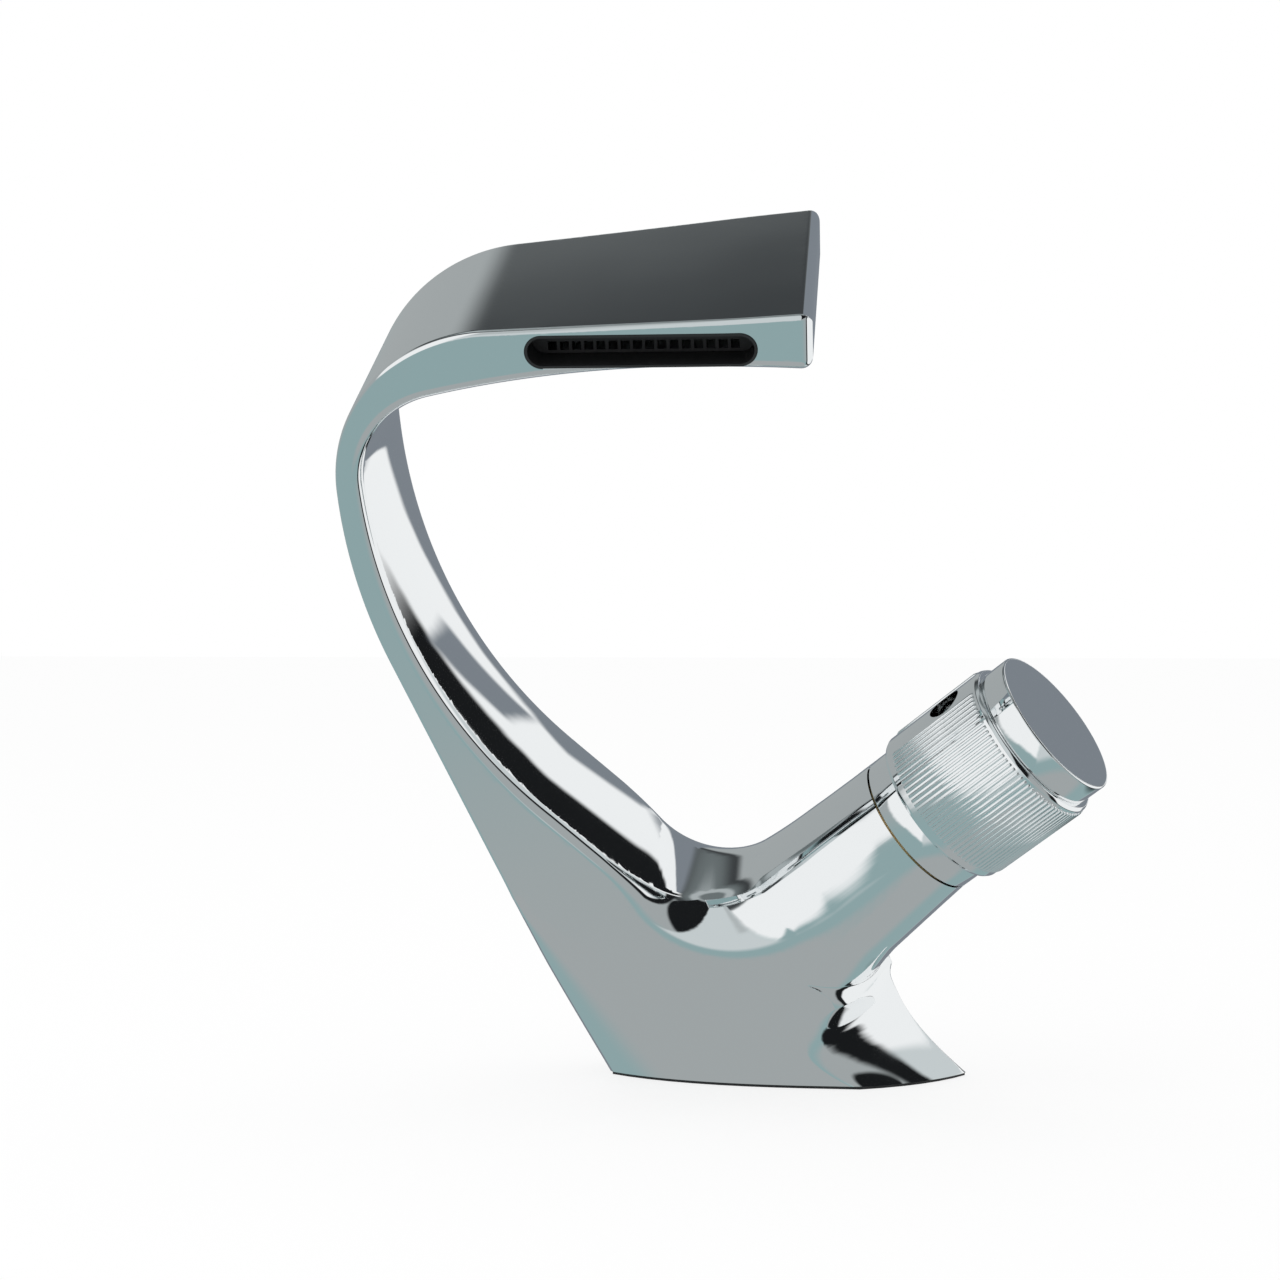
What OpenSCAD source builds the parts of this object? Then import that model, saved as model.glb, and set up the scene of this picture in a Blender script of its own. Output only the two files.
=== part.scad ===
// Waterfall basin faucet: a leaning C-shaped strip on a pointed foot, with a knurled handle on a side stub.
// Origin: centre of the foot on the deck. +Z up, -Y towards the user, +X towards the handle.

/* [Strip] */
// Angle that the strip leans towards the user
lean = 29; // [22:1:33]
// Depth of the strip at the foot, front face to back
foot_depth = 35; // [34:0.5:38]
// Depth of the spout at its free end
spout_depth = 63; // [52:1:66]
// Straight length of the spout's top
spout_length = 63; // [60:1:68]
// Distance of the spout's free end from the foot's centre
spout_reach = 8; // [5:1:11]
// Height of the spout's top edge, along the lean
spout_top = 197.6; // [194:0.2:201]
// Thickness of the spout's front face
spout_thick = 11.7; // [11.2:0.1:12.6]
// Outer radius of the shoulder
shoulder_r = 34; // [33:0.5:35]
// Inner radius of the shoulder
shoulder_inner_r = 19.3; // [18.5:0.1:20]
// Outer radius of the long side
side_r = 120; // [112:1:128]
// Inner radius of the long side
side_inner_r = 117; // [113:1:121]
// Bulge of the spout's rounded free end
nose = 2.4; // [1.5:0.1:3]
// Rounding of the strip's long edges
edge_r = 1; // [0.6:0.1:1.4]
// Radius of the inner corner between strip and stub
vee_r = 17; // [12:0.5:19]

/* [Foot] */
// Width of the foot on the deck
foot_w = 84.4; // [82:0.2:88]
// Depth of the foot's left end on the deck
foot_end_depth = 15; // [12:0.5:18]
// Height of the cove that shapes the foot's right side
cove_h = 27; // [25:0.5:29]
// Thickness of the gasket
gasket_h = 2.4; // [1.8:0.1:3]
// Height of the gasket that shows under the foot
gasket_show = 0.8; // [0.5:0.1:1.2]

/* [Spout outlet] */
// Width of the outlet slot
slot_w = 45; // [40:0.5:46]
// Height of the outlet slot
slot_h = 6.9; // [6.6:0.1:7.2]
// Depth of the black outlet insert
insert_depth = 14; // [13:0.5:16]
// Wall of the outlet insert
insert_wall = 0.5; // [0.4:0.05:0.55]
// Thickness of the flow grid, front to back
grid_depth = 4; // [3:0.5:5]
// Height of the water channel in the strip
channel_h = 5.4; // [5:0.2:6.4]
// Least wall between the water channel and the strip's outside
wall = 1.6; // [1.4:0.1:1.8]

/* [Stub and handle] */
// Angle of the stub above the horizontal, along the lean
stub_angle = 42.4; // [40:0.2:45]
// Diameter of the stub
stub_d = 33.4; // [33:0.1:34]
// Length of the cover ring, with the seam under it
ring_h = 6.9; // [6.5:0.1:7.5]
// Diameter of the knurled sleeve
sleeve_d = 37.6; // [37.2:0.1:39]
// Length of the knurled sleeve
sleeve_h = 26.3; // [25.5:0.1:28]
// Diameter of the handle's end cap
cap_d = 34; // [32:0.2:35]
// Length of the handle's end cap
cap_h = 6.1; // [5:0.1:8]
// Number of grooves in the knurl
knurl_count = 96; // [80:2:108]
// Depth of the knurl's grooves
knurl_depth = 0.35; // [0.2:0.05:0.5]
// Diameter of the set screw's thread
screw_d = 5; // [4:0.5:6]

/* [Cartridge] */
// Diameter of the cartridge housing
cartridge_d = 25.2; // [25:0.1:25.4]
// Depth of the cartridge seat below the stub's end
seat_depth = 30; // [29.5:0.5:32]
// Diameter of the moving ceramic disc
disc_d = 16.4; // [15.6:0.1:16.6]
// Thickness of the moving ceramic disc
disc_h = 3; // [2.6:0.1:3.2]
// Diameter of the water ports
port_d = 5; // [4:0.1:5.4]
// Diameter of the stem pin
pin_d = 3; // [2.5:0.1:3.2]
// Diameter of the stem's upper part
stem_d = 8; // [7.4:0.1:8.4]
// Diameter of the round end of the stem
ball_d = 5.4; // [5:0.1:5.8]

/* [Deck fixing] */
// Thickness of the deck that the faucet is clamped to
deck_h = 20; // [15:1:30]
// Diameter of the mounting stud
stud_d = 8; // [6:0.5:8]
// Length of the mounting stud
stud_l = 64; // [60:1:80]
// Drilled diameter of the two inlet threads
inlet_d = 9; // [8.8:0.1:9.4]
// Depth of the two inlet threads
inlet_depth = 14; // [12:0.5:15]
// Distance between the two inlets
inlet_pitch = 18; // [17:0.5:19]
// Diameter of the washers under the deck
washer_d = 48; // [46:1:52]
// Thickness of the rubber washer
rubber_h = 3; // [2:0.5:4]
// Thickness of the steel washer
steel_h = 2; // [1.5:0.5:3]
// Width across the flats of the clamping nut
nut_flats = 13; // [12:0.5:14]
// Height of the clamping nut
nut_h = 6.5; // [5:0.5:8]

/* [Hidden] */
$fn = 96;
// Overrun of every cut past the face that it opens
over = 1;
// Clearance between parts that are fitted together
fit = 0.1;
// Clearance between parts that turn or slide in each other
running = 0.05;
// Clearance between parts that pass each other freely
free = 0.3;

// The strip's two edges are chains of segments: a straight is [length, 0, 0], an arc is [0, radius, turn]
front = foot_depth / 2;
outer_tilt = 182;
inner_tilt = 175.7;
shoulder_turn = 88;
side_turn = 19.4;
tip_run = 6.2;
foot_run = 49;
under_r = 236;
under_turn = 16.9;
shoulder_inner_turn = 78.5;
side_inner_turn = 42.9;
vee_run = 50;
vee_sunk = 0.3;
outer_start = [spout_reach, spout_top, outer_tilt];
outer_path = [[tip_run, 0, 0], [spout_length - tip_run, 0, 0], [0, shoulder_r, shoulder_turn],
    [0, side_r, side_turn], [foot_run, 0, 0]];
inner_start = [spout_reach, spout_top - spout_thick, inner_tilt];
inner_path = [[tip_run, 0, 0], [0, under_r, under_turn], [0, shoulder_inner_r, shoulder_inner_turn],
    [0, side_inner_r, side_inner_turn], [vee_run, 0, 0]];
stations = [1, 6, 18, 14, 10];
last_segment = 4;
nose_steps = 4;
corner_steps = 3;
depth_power = 1.7;

// Place and heading after a share f of the segment s, from the place and heading p
function along(p, s, f) = s[1] == 0
    ? [p[0] + s[0] * f * cos(p[2]), p[1] + s[0] * f * sin(p[2]), p[2]]
    : [p[0] + s[1] * (sin(p[2] + s[2] * f) - sin(p[2])), p[1] - s[1] * (cos(p[2] + s[2] * f) - cos(p[2])),
        p[2] + s[2] * f];
function joint_of(start, path, k) = k == 0 ? start : along(joint_of(start, path, k - 1), path[k - 1], 1);
function edge_at(start, path, m) = along(joint_of(start, path, m[0]), path[m[0]], m[1]);
function outer_at(m) = edge_at(outer_start, outer_path, m);
function inner_at(m) = edge_at(inner_start, inner_path, m);

// Every station of the strip as [segment, share], from the free end down to the foot
marks = [for (k = [0:last_segment]) for (i = [0:stations[k] - 1]) [k, i / stations[k]],
    [last_segment, 1]];
run_lengths = [for (s = outer_path) s[1] == 0 ? s[0] : s[1] * s[2] * PI / 180];
function run_to(k) = k == 0 ? 0 : run_to(k - 1) + run_lengths[k - 1];
strip_run = run_to(last_segment + 1);
function depth_at(m) = foot_depth + (spout_depth - foot_depth)
    * pow(1 - (run_to(m[0]) + run_lengths[m[0]] * m[1]) / strip_run, depth_power);

// One ring of the strip, round its outer and inner edge points, with rounded corners
function reversed(l) = [for (i = [len(l) - 1:-1:0]) l[i]];
function corner(p, d, y, side, r) = [for (i = [0:corner_steps]) let (a = 90 * i / corner_steps)
    [p[0] - d[0] * r * (1 - cos(a)), y + side * r * (1 - sin(a)), p[1] - d[1] * r * (1 - cos(a))]];
function ring_of(o, n, y0, y1, r) = let (w = [o[0] - n[0], o[1] - n[1]], d = w / norm(w))
    concat(reversed(corner(o, d, y0, 1, r)), corner(o, d, y1, -1, r), reversed(corner(n, -d, y1, -1, r)),
        corner(n, -d, y0, 1, r));
function moved(p, slide, d, inset) = [p[0] - slide * cos(p[2]) - d[0] * inset,
    p[1] - slide * sin(p[2]) - d[1] * inset];
function strip_ring(m, inset, slide) = let (o = outer_at(m), n = inner_at(m),
        w = [o[0] - n[0], o[1] - n[1]], d = w / norm(w))
    ring_of(moved(o, slide, d, inset), moved(n, slide, -d, inset), -front + inset,
        -front + depth_at(m) - inset, edge_r);
nose_rings = [for (i = [nose_steps:-1:1]) let (a = 90 * i / (nose_steps + 1))
    strip_ring([0, 0], nose * (1 - cos(a)), nose * sin(a))];
strip_rings = concat(nose_rings, [for (m = marks) strip_ring(m, 0, 0)]);

// A closed skin over rings of equal length, with its two ends capped
function mean(l) = [for (i = [0:len(l) - 1]) 1] * l / len(l);
module skin(rings) {
    n = len(rings[0]);
    last = len(rings) - 1;
    points = [for (r = rings) for (p = r) p];
    sides = [for (k = [0:last - 1]) for (i = [0:n - 1]) let (j = (i + 1) % n)
        each [[k * n + i, (k + 1) * n + j, k * n + j], [k * n + i, (k + 1) * n + i, (k + 1) * n + j]]];
    mids = [mean(rings[0]), mean(rings[last])];
    low = [for (i = [0:n - 1]) [len(points), i, (i + 1) % n]];
    high = [for (i = [0:n - 1]) [len(points) + 1, last * n + (i + 1) % n, last * n + i]];
    polyhedron(concat(points, mids), concat(sides, low, high), convexity = 10);
}

// Lean frame: local Z runs up the strip, local Y from its front face to its back
module lean_frame() {
    rotate([lean, 0, 0]) children();
}
function lean_point(x, y, z) = [x, y * cos(lean) - z * sin(lean), y * sin(lean) + z * cos(lean)];

// Stub frame: origin at the centre of the stub's end, local Z out along the stub, local X to its underside
stub_x = 29.2;
stub_z = 71.1;
module stub_frame() {
    lean_frame() translate([stub_x, 0, stub_z]) rotate([0, 90 - stub_angle, 0]) children();
}
function stub_point(x, y, z) = lean_point(stub_x + x * sin(stub_angle) + z * cos(stub_angle), y,
    stub_z - x * cos(stub_angle) + z * sin(stub_angle));

// The foot is a loft of level outlines that shift forward with height, and ends on the strip's last ring
half = front / cos(lean);
flush = 0.05;
outer_end = outer_at([last_segment, 1]);
inner_end = inner_at([last_segment, 1]);
foot_top = outer_end[1] * cos(lean) - front * sin(lean);
left_slope = 0.47;
left_ease_share = 0.2;
facet_share = 0.35;
facet_start = 6;
facet_slope = 1.47;
cove_left = 5;
cove_mid_share = 0.46;
cove_reach = 13;
cove_crest = 24.5;
crest_slope = 1.5;
crest_top = 33;
waist_right = 23.5;
tip_power = 1.5;
tip_bulge = 4;
facet_steps = 8;
flank_steps = 6;
level_shares = [0, 0.07, 0.15, 0.25, 0.36, 0.47, 0.58, 0.7, 0.82, 1];
back_shift = foot_depth * tan(lean) * tan(outer_end[2] - 270);

function bezier(a, b, c, t) = a * (1 - t) * (1 - t) + b * 2 * t * (1 - t) + c * t * t;
function facet_line(z, side) = let (
        left = -foot_w / 2 - left_slope * z * (1 - left_ease_share * z / foot_top)
            + (side > 0 ? back_shift * (1 - pow(1 - z / foot_top, 2)) : 0),
        deep = foot_end_depth / 2 + (half - foot_end_depth / 2) * z / foot_top,
        crease = facet_start - facet_slope * z)
    [for (i = [0:facet_steps]) bezier([left, side * deep],
        [left + facet_share * (crease - left), side * half],
        [crease, side * half], i / facet_steps)];
function flank_line(z, side) = let (
        mid = cove_mid_share * cove_h,
        crease = cove_left + cove_reach * pow((min(z, cove_crest) - mid) / mid, 2)
            - crest_slope * max(0, z - cove_crest),
        tip = waist_right + (foot_w / 2 - waist_right) * pow(max(0, 1 - z / cove_h), tip_power),
        bulge = tip_bulge * max(0, 1 - z / mid))
    [for (i = [0:flank_steps]) bezier([crease, side * half],
        [(crease + tip) / 2 + bulge, side * (half / 2 + bulge)], [tip, 0], i / flank_steps)];
function foot_outline(z) = concat(facet_line(z, -1), flank_line(z, -1),
    [for (i = [flank_steps - 1:-1:0]) flank_line(z, 1)[i]], reversed(facet_line(z, 1)));
function foot_level(z) = [for (p = foot_outline(z))
    [p[0], p[1] * (half - flush) / half - z * tan(lean), z]];
function mix(a, b, t) = a + (b - a) * t;
function top_point(t, y) = lean_point(mix(outer_end[0], inner_end[0], t), y * (front - flush),
    mix(outer_end[1], inner_end[1], t));
function top_line(side) = concat([for (i = [0:facet_steps]) top_point(i / facet_steps / 2, side)],
    [for (i = [0:flank_steps]) top_point(1, side * (1 - i / flank_steps))]);
foot_ring = concat(top_line(-1), [for (i = [facet_steps + flank_steps:-1:facet_steps + 1]) top_line(1)[i]],
    reversed([for (i = [0:facet_steps]) top_line(1)[i]]));
foot_rings = concat([for (s = level_shares) foot_level(gasket_show + (cove_crest - gasket_show) * s)],
    [foot_level(crest_top), foot_ring]);

module foot() {
    skin(foot_rings);
}

// Stub, with a swelling on its underside and a squared top where it grows out of the foot
stub_root = 46;
swell_from = 2;
sunk = 0.12;
swell_to = 36;
swell_shift = 4.6;
swell_h = 1;
swell_top = 9;
swell_r = 4;
module stub() {
    translate([0, 0, -stub_root]) cylinder(d = stub_d, h = stub_root);
    hull() {
        translate([0, 0, -swell_from - swell_h]) cylinder(d = stub_d - 2 * sunk, h = swell_h);
        translate([swell_shift, 0, -swell_to]) cylinder(d = stub_d, h = swell_h);
        for (side = [-1, 1]) translate([swell_r - swell_top, side * (front - flush - swell_r), -swell_to])
            cylinder(r = swell_r, h = swell_h);
    }
}

// Saddle between the strip's inner edge and the top of the stub: the stub's round, bent through the corner
module vee() {
    up = inner_end[2] - 180;
    gap = up - stub_angle;
    dx = stub_x - stub_d / 2 * sin(stub_angle) - inner_end[0];
    dz = stub_z + stub_d / 2 * cos(stub_angle) - inner_end[1];
    run = (dx * sin(stub_angle) - dz * cos(stub_angle)) / sin(-gap);
    reach = vee_r / sin(gap / 2);
    translate([inner_end[0] + run * cos(up) + reach * cos(up - gap / 2), 0,
        inner_end[1] + run * sin(up) + reach * sin(up - gap / 2)])
        rotate([90, 0, 0]) rotate([0, 0, up + 90]) rotate_extrude(angle = 180 - gap)
            translate([vee_r + stub_d / 2, 0]) circle(d = stub_d - 2 * vee_sunk);
}

// A round drilling between two points
module drilling(a, b, d) {
    v = b - a;
    translate(a) rotate([0, acos(v[2] / norm(v)), atan2(v[1], v[0])]) cylinder(d = d, h = norm(v));
}

// Water channel inside the strip, close under its outer face
channel_wall = 3;
channel_share = 0.6;
channel_from = 1;
function channel_ring(m) = let (o = outer_at(m), n = inner_at(m), w = [n[0] - o[0], n[1] - o[1]],
        t = norm(w), d = w / t,
        h = min(channel_h, t - 2 * wall),
        a = max((t - h) / 2 - (t > channel_h + 2 * channel_wall ? (t - h) / 2 - channel_wall : 0), wall),
        behind = m[0] < 2 ? 1 : m[0] > 2 ? 0 : 1 - m[1],
        y0 = -front + channel_wall + (insert_depth - over - channel_wall) * behind,
        y1 = -front + depth_at(m) - channel_wall)
    [[o[0] + d[0] * a, y0, o[1] + d[1] * a], [o[0] + d[0] * a, y1, o[1] + d[1] * a],
        [o[0] + d[0] * (a + h), y1, o[1] + d[1] * (a + h)],
        [o[0] + d[0] * (a + h), y0, o[1] + d[1] * (a + h)]];
channel_marks = [for (m = marks)
    if (m[0] >= channel_from && (m[0] < last_segment || m[1] <= channel_share)) m];
channel_end = channel_ring([last_segment, channel_share]);

// Ports in the cartridge seat, in the stub frame, and the drillings that feed them
port_side = 5.5;
port_low = 4.5;
port_high = 6.5;
feed_d = 6;
turn_d = 5.4;
riser_d = 4.6;
run_in_share = 0.65;
outlet_turn = lean_point(-12, 0, 35);
outlet_drop = 10;
inlet_y = -8;
stud_y = 6;
stud_grip = 10;
seat_clear = 0.2;
thread_d = 28;
thread_h = 8;

function stadium_w(w, h) = (w - h) / 2;
module stadium(w, h) {
    translate([-stadium_w(w, h), -h / 2]) square([w - h, h]);
    for (side = [-1, 1]) translate([side * stadium_w(w, h), 0]) circle(d = h);
}

// Slot frame: origin at the centre of the slot in the strip's front face, local Z into the strip
slot_x = -24.9;
slot_drop = 6.6;
module slot_frame() {
    lean_frame() translate([slot_x, -front, spout_top - slot_drop]) rotate([-90, 0, 0]) children();
}

gasket_inset = 0.6;
tongue_inset = 3.6;
tongue_w = 2.4;
module foot_plan(inset) {
    offset(delta = -inset) polygon(foot_outline(gasket_show));
}
module gasket_plan(from, to) {
    difference() {
        foot_plan(from);
        foot_plan(to);
    }
}

module body() {
    color("silver") difference() {
        union() {
            lean_frame() skin(strip_rings);
            foot();
            stub_frame() stub();
            lean_frame() vee();
        }
        lean_frame() skin([for (m = channel_marks) channel_ring(m)]);
        slot_frame() translate([0, 0, -over]) linear_extrude(height = insert_depth + 2 * over)
            stadium(slot_w, slot_h);
        stub_frame() {
            translate([0, 0, -seat_depth]) cylinder(d = cartridge_d + 2 * fit, h = seat_depth + over);
            translate([0, 0, -thread_h]) cylinder(d = thread_d + 2 * fit, h = thread_h + over);
            translate([-port_high, 0, -seat_depth - outlet_drop])
                cylinder(d = feed_d, h = outlet_drop + over);
            for (side = [-1, 1]) translate([port_low, side * port_side, -seat_depth - over])
                cylinder(d = port_d, h = 2 * over);
        }
        drilling(stub_point(-port_high, 0, over - seat_depth - outlet_drop), outlet_turn, turn_d);
        drilling(outlet_turn, lean_point((channel_end[0][0] + channel_end[2][0]) / 2, 0,
            (channel_end[0][2] + channel_end[2][2]) / 2), riser_d);
        for (side = [-1, 1]) {
            low = [side * inlet_pitch / 2, inlet_y, gasket_show + inlet_depth];
            port = stub_point(port_low, -side * port_side, -seat_depth);
            drilling(low - (port - low) * run_in_share * port_d / norm(port - low), port, port_d);
            translate([side * inlet_pitch / 2, inlet_y, gasket_show - over])
                cylinder(d = inlet_d, h = inlet_depth + over);
        }
        translate([0, stud_y, gasket_show - over]) cylinder(d = stud_d + 2 * fit, h = stud_grip + 2 * over);
        translate([0, 0, gasket_show - over]) linear_extrude(height = gasket_h - gasket_show + over)
            gasket_plan(tongue_inset - fit, tongue_inset + tongue_w + fit);
    }
}

module base_gasket() {
    color("dimgray") {
        linear_extrude(height = gasket_show) difference() {
            foot_plan(gasket_inset);
            translate([0, stud_y]) circle(d = stud_d + 2 * free);
            for (side = [-1, 1]) translate([side * inlet_pitch / 2, inlet_y]) circle(d = inlet_d + over);
        }
        linear_extrude(height = gasket_h) gasket_plan(tongue_inset, tongue_inset + tongue_w);
    }
}

// Black plastic lining of the slot, with a ledge that the grid rests against
ledge = 0.5;
mouth_depth = 6.4;
seal_h = 1.6;
seal_from = 11.4;
seal_deep = 0.3;
module spout_insert() {
    inner_w = slot_w - 2 * fit - 2 * insert_wall;
    inner_h = slot_h - 2 * fit - 2 * insert_wall;
    color("black") slot_frame() difference() {
        linear_extrude(height = insert_depth) stadium(slot_w - 2 * fit, slot_h - 2 * fit);
        translate([0, 0, -over]) linear_extrude(height = mouth_depth + grid_depth + over)
            stadium(inner_w, inner_h);
        translate([0, 0, -over]) linear_extrude(height = insert_depth + 2 * over)
            stadium(inner_w - 2 * ledge, inner_h - 2 * ledge);
        translate([0, 0, seal_from]) linear_extrude(height = seal_h) difference() {
            stadium(slot_w + 2 * over, slot_h + 2 * over);
            stadium(slot_w - 2 * fit - 2 * seal_deep, slot_h - 2 * fit - 2 * seal_deep);
        }
    }
}

module insert_seal() {
    color("dimgray") slot_frame() translate([0, 0, seal_from + fit])
        linear_extrude(height = seal_h - 2 * fit)
        difference() {
            stadium(slot_w, slot_h);
            stadium(slot_w - 2 * fit - 2 * seal_deep, slot_h - 2 * fit - 2 * seal_deep);
        }
}

// Grid of square cells across the slot
grid_columns = 16;
grid_rows = 2;
grid_bar = 0.6;
module flow_grid() {
    w = slot_w - 4 * fit - 2 * insert_wall;
    h = slot_h - 4 * fit - 2 * insert_wall;
    pitch_x = (w - h) / grid_columns;
    pitch_y = (h - grid_bar) / grid_rows;
    color("black") slot_frame() translate([0, 0, mouth_depth])
        linear_extrude(height = grid_depth) difference() {
        stadium(w, h);
        for (i = [0:grid_columns - 1]) for (j = [0:grid_rows - 1])
            translate([(i + 0.5 - grid_columns / 2) * pitch_x, (j + 0.5 - grid_rows / 2) * pitch_y])
                square([pitch_x - grid_bar, pitch_y - grid_bar], center = true);
    }
}

// Levels of the cartridge, up from its seat at the bottom of the stub
housing_wall = 1.4;
bore_d = cartridge_d - 2 * housing_wall;
base_h = 3.6;
fixed_h = 3.3;
carrier_h = 3.4;
base_z = -seat_depth + seat_clear;
fixed_z = base_z + base_h;
moving_z = fixed_z + fixed_h + running;
carrier_z = moving_z + disc_h;
guide_z = carrier_z + carrier_h + running;
shoulder_z = -4;
roof_h = 2;
neck_d = 15;
neck_top = 10;
collar_d = 20;
pivot_drop = 0.4;
pivot_z = ring_h - pivot_drop;
slide_rest = 2.5;
lift_angle = 12;

module cartridge_housing() {
    color("white") stub_frame() difference() {
        union() {
            translate([0, 0, base_z]) cylinder(d = cartridge_d, h = shoulder_z - base_z);
            translate([0, 0, shoulder_z]) cylinder(d = collar_d, h = -shoulder_z);
        }
        translate([0, 0, base_z - over]) cylinder(d = bore_d, h = shoulder_z - roof_h - base_z + over);
        translate([0, 0, base_z]) cylinder(d = neck_d + 2 * running, h = -base_z + over);
    }
}

// Base plate: three ports, each with a counterbore for its seal
seal_d = 7.6;
seal_groove = 1.5;
module each_port() {
    translate([-port_high, 0, 0]) children();
    for (side = [-1, 1]) translate([port_low, side * port_side, 0]) children();
}
module cartridge_base() {
    color("white") stub_frame() translate([0, 0, base_z]) difference() {
        cylinder(d = bore_d - 2 * fit, h = base_h);
        each_port() translate([0, 0, -over]) {
            cylinder(d = port_d, h = base_h + 2 * over);
            cylinder(d = seal_d, h = seal_groove + over);
        }
    }
}

module port_seal(x, y) {
    color("dimgray") stub_frame() translate([x, y, -seat_depth]) difference() {
        cylinder(d = seal_d - 2 * fit, h = seat_clear + seal_groove);
        translate([0, 0, -over]) cylinder(d = port_d, h = seat_clear + seal_groove + 2 * over);
    }
}
module hot_seal() {
    port_seal(port_low, -port_side);
}
module cold_seal() {
    port_seal(port_low, port_side);
}
module outlet_seal() {
    port_seal(-port_high, 0);
}

module fixed_disc() {
    color("ivory") stub_frame() translate([0, 0, fixed_z]) difference() {
        cylinder(d = bore_d - 2 * fit, h = fixed_h);
        each_port() translate([0, 0, -over]) cylinder(d = port_d, h = fixed_h + 2 * over);
    }
}

// Upper disc, with the mixing pocket in its underside
pocket_share = 0.55;
pocket_h_share = 0.5;
carrier_floor_share = 1 / 6;
module moving_disc() {
    color("ivory") stub_frame() translate([-slide_rest, 0, moving_z]) difference() {
        cylinder(d = disc_d, h = disc_h);
        translate([0, 0, -over]) cylinder(d = disc_d * pocket_share, h = disc_h * pocket_h_share + over);
    }
}

carrier_floor = carrier_h * carrier_floor_share;
module disc_carrier() {
    color("dimgray") stub_frame() translate([0, 0, carrier_z]) difference() {
        translate([-slide_rest, 0, 0]) cylinder(d = disc_d, h = carrier_h);
        translate([0, 0, carrier_floor]) cylinder(d = ball_d + 2 * fit, h = carrier_h + over);
    }
}

// Guide that turns in the housing: its slot lets the stem tilt one way only, and is wider below for the ball
guide_slot = 12;
stem_low_d = 4.6;
slot_step = -2;
guide_cut = -7;
module stem_guide() {
    color("gainsboro") stub_frame() difference() {
        union() {
            translate([0, 0, guide_z])
                cylinder(d = bore_d - 2 * running, h = shoulder_z - roof_h - guide_z - running);
            translate([0, 0, guide_z]) cylinder(d = neck_d, h = neck_top - guide_z);
        }
        translate([-guide_slot / 2, -stem_d / 2 - running, slot_step])
            cube([guide_slot, stem_d + 2 * running, neck_top - slot_step + over]);
        for (level = [[guide_z - over, guide_cut, ball_d], [guide_cut - over, slot_step + over, stem_low_d]]) {
            way_l = level[2] + 2 * free + (pivot_z - level[0]) * sin(lift_angle);
            translate([-level[2] / 2 - free, -level[2] / 2 - running, level[0]])
                cube([way_l, level[2] + 2 * running, level[1] - level[0]]);
        }
        translate([0, 0, pivot_z]) rotate([90, 0, 0]) cylinder(d = pin_d, h = neck_d + over, center = true);
    }
}

module stem_pin() {
    color("silver") stub_frame() translate([0, 0, pivot_z]) rotate([90, 0, 0])
        cylinder(d = pin_d, h = neck_d - 2 * free, center = true);
}

stem_waist = 2.5;
ball_z = carrier_z + carrier_floor + ball_d / 2 + fit;
stem_top = 26;
module stem() {
    color("goldenrod") stub_frame() difference() {
        union() {
            translate([0, 0, pivot_z - stem_waist])
                cylinder(d = stem_d, h = stem_top - pivot_z + stem_waist);
            translate([0, 0, ball_z]) cylinder(d = stem_low_d, h = pivot_z - ball_z);
            translate([0, 0, ball_z]) sphere(d = ball_d);
        }
        translate([0, 0, pivot_z]) rotate([90, 0, 0])
            cylinder(d = pin_d + 2 * running, h = stem_d + over, center = true);
    }
}

// Nut that holds the cartridge down, with a collar that carries the cover ring
nut_collar_d = 30;
nut_collar_h = 4.6;
groove_d = 27.6;
groove_h = 1.4;
groove_z = 1.6;
module retaining_nut() {
    color("goldenrod") stub_frame() difference() {
        union() {
            translate([0, 0, -thread_h + fit]) cylinder(d = thread_d, h = thread_h - fit);
            cylinder(d = nut_collar_d, h = nut_collar_h);
        }
        translate([0, 0, -thread_h]) cylinder(d = cartridge_d + 2 * fit, h = thread_h + shoulder_z);
        translate([0, 0, -thread_h]) cylinder(d = collar_d + 2 * fit, h = thread_h + nut_collar_h + over);
        translate([0, 0, groove_z]) difference() {
            cylinder(d = nut_collar_d + over, h = groove_h);
            cylinder(d = groove_d, h = groove_h);
        }
    }
}

module ring_seal() {
    color("dimgray") stub_frame() translate([0, 0, groove_z + fit]) difference() {
        cylinder(d = nut_collar_d, h = groove_h - 2 * fit);
        translate([0, 0, -over]) cylinder(d = groove_d, h = groove_h + 2 * over);
    }
}

// Polished ring over the nut, with a bevelled rim that the handle's skirt passes
seam = 0.4;
lip_d = 21;
rim = 0.5;
module cover_ring() {
    color("silver") stub_frame() rotate_extrude() polygon([[nut_collar_d / 2 + fit, seam],
        [stub_d / 2 - rim / 2, seam], [stub_d / 2, seam + rim / 2], [stub_d / 2, ring_h - rim],
        [stub_d / 2 - rim, ring_h], [lip_d / 2, ring_h], [lip_d / 2, nut_collar_h + fit],
        [nut_collar_d / 2 + fit, nut_collar_h + fit]]);
}

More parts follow.
